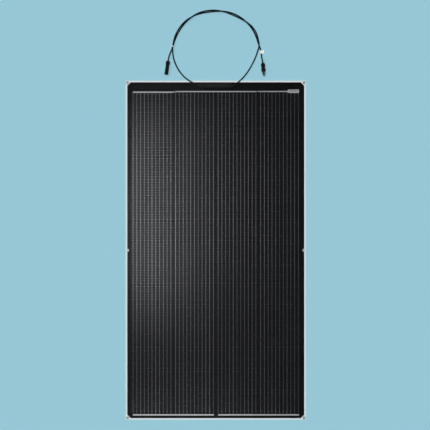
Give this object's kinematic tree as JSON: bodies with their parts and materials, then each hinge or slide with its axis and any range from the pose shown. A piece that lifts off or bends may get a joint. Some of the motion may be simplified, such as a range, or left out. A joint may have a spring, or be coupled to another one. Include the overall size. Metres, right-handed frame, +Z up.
{
  "type": "flexible solar sheet",
  "caption": "Flat flexible solar laminate with half-cut cells, white border, eyelets, a slim front junction box and two leads with connectors.",
  "frame": {"origin": "middle of the sheet's underside, on the surface it lies on; the leads and connectors are left out of it", "axes": "+Z up out of the cells' face, +Y along the sheet's length towards the junction box, +X to the right seen from above"},
  "size_m": [0.78, 1.7756, 0.0189],
  "materials": {
    "clear_film": "clear fluoropolymer film, finely textured, satin",
    "white_board": "white glass-fibre laminate, satin",
    "black_backing": "black encapsulant, satin",
    "solar_cell": "dark blue-black silicon",
    "tinned_ribbon": "tinned copper, satin",
    "nickel_eyelet": "nickel plate, satin",
    "box_plastic": "black moulded plastic",
    "lid_plastic": "dark grey moulded plastic",
    "soft_rubber": "black rubber",
    "terminal_brass": "plain brass",
    "cable_jacket": "black cable jacket, satin",
    "connector_plastic": "black moulded plastic",
    "contact_metal": "tin plate",
    "white_tie": "white nylon",
    "white_paper": "white film tag",
    "label_grey": "silver-grey printed film, blank"
  },
  "bodies": {
    "upper_section": {"front_film_upper": "clear_film", "core_board_upper": "white_board", "black_backing_upper": "black_backing", "back_sheet_upper": "white_board", "cell_string_1_upper": "solar_cell", "cell_string_2_upper": "solar_cell", "cell_string_3_upper": "solar_cell", "cell_string_4_upper": "solar_cell", "eyelet_upper_left": "nickel_eyelet", "eyelet_upper_right": "nickel_eyelet", "bus_ribbon_top_left": "tinned_ribbon", "bus_ribbon_top_centre": "tinned_ribbon", "bus_ribbon_top_right": "tinned_ribbon", "rating_label": "label_grey", "junction_box_pad": "soft_rubber", "junction_box_base": "box_plastic", "junction_box_seal": "soft_rubber", "terminal_left": "terminal_brass", "terminal_right": "terminal_brass", "bypass_diode_left": "box_plastic", "bypass_diode_right": "box_plastic", "gland_left": "soft_rubber", "gland_right": "soft_rubber", "cable_left": "cable_jacket", "cable_right": "cable_jacket", "cable_tie": "white_tie", "cable_tag": "white_paper", "pin_connector_cable_seal": "soft_rubber", "pin_connector_housing": "connector_plastic", "pin_contact": "contact_metal", "socket_connector_cable_seal": "soft_rubber", "socket_connector_housing": "connector_plastic", "socket_contact": "contact_metal"},
    "middle_section": {"front_film_middle": "clear_film", "core_board_middle": "white_board", "black_backing_middle": "black_backing", "back_sheet_middle": "white_board", "cell_string_1_middle": "solar_cell", "cell_string_2_middle": "solar_cell", "cell_string_3_middle": "solar_cell", "cell_string_4_middle": "solar_cell", "eyelet_middle_left": "nickel_eyelet", "eyelet_middle_right": "nickel_eyelet"},
    "lower_section": {"front_film_lower": "clear_film", "core_board_lower": "white_board", "black_backing_lower": "black_backing", "back_sheet_lower": "white_board", "cell_string_1_lower": "solar_cell", "cell_string_2_lower": "solar_cell", "cell_string_3_lower": "solar_cell", "cell_string_4_lower": "solar_cell", "eyelet_lower_left": "nickel_eyelet", "eyelet_lower_right": "nickel_eyelet", "bus_ribbon_bottom_left": "tinned_ribbon", "bus_ribbon_bottom_right": "tinned_ribbon"},
    "box_lid": {"junction_box_lid": "lid_plastic"},
    "pin_nut": {"pin_connector_cable_nut": "connector_plastic"},
    "socket_nut": {"socket_connector_cable_nut": "connector_plastic"},
    "finger_inner": {"latch_finger_inner": "connector_plastic"},
    "finger_outer": {"latch_finger_outer": "connector_plastic"}
  },
  "joints": [
    {"name": "flex_upper", "type": "hinge", "parent": "upper_section", "child": "middle_section", "pos_m": [0, 0.21915, 0.0024], "axis": [-1, 0, 0], "range_deg": [0, 15], "stiffness_Nm_per_rad": 8},
    {"name": "flex_lower", "type": "hinge", "parent": "middle_section", "child": "lower_section", "pos_m": [0, -0.24235, 0.0024], "axis": [-1, 0, 0], "range_deg": [0, 15], "stiffness_Nm_per_rad": 8},
    {"name": "lid_lift", "type": "slide", "parent": "upper_section", "child": "box_lid", "axis": [0, 0, 1], "range_m": [0, 0.012]},
    {"name": "pin_nut_turn", "type": "hinge", "parent": "upper_section", "child": "pin_nut", "pos_m": [-0.2054, 0.819, 0.0096], "axis": [0.1392, 0.9903, 0], "range_deg": [0, 120]},
    {"name": "socket_nut_turn", "type": "hinge", "parent": "upper_section", "child": "socket_nut", "pos_m": [0.2033, 0.8095, 0.0096], "axis": [-0.1011, 0.9949, 0], "range_deg": [0, 120]},
    {"name": "finger_inner_press", "type": "hinge", "parent": "upper_section", "child": "finger_inner", "pos_m": [0.2015, 0.77082, 0.0096], "axis": [0, 0, 1], "range_deg": [0, 5], "stiffness_Nm_per_rad": 0.4},
    {"name": "finger_outer_press", "type": "hinge", "parent": "upper_section", "child": "finger_outer", "pos_m": [0.21284, 0.77197, 0.0096], "axis": [0, 0, -1], "range_deg": [0, 5], "stiffness_Nm_per_rad": 0.4}
  ]
}
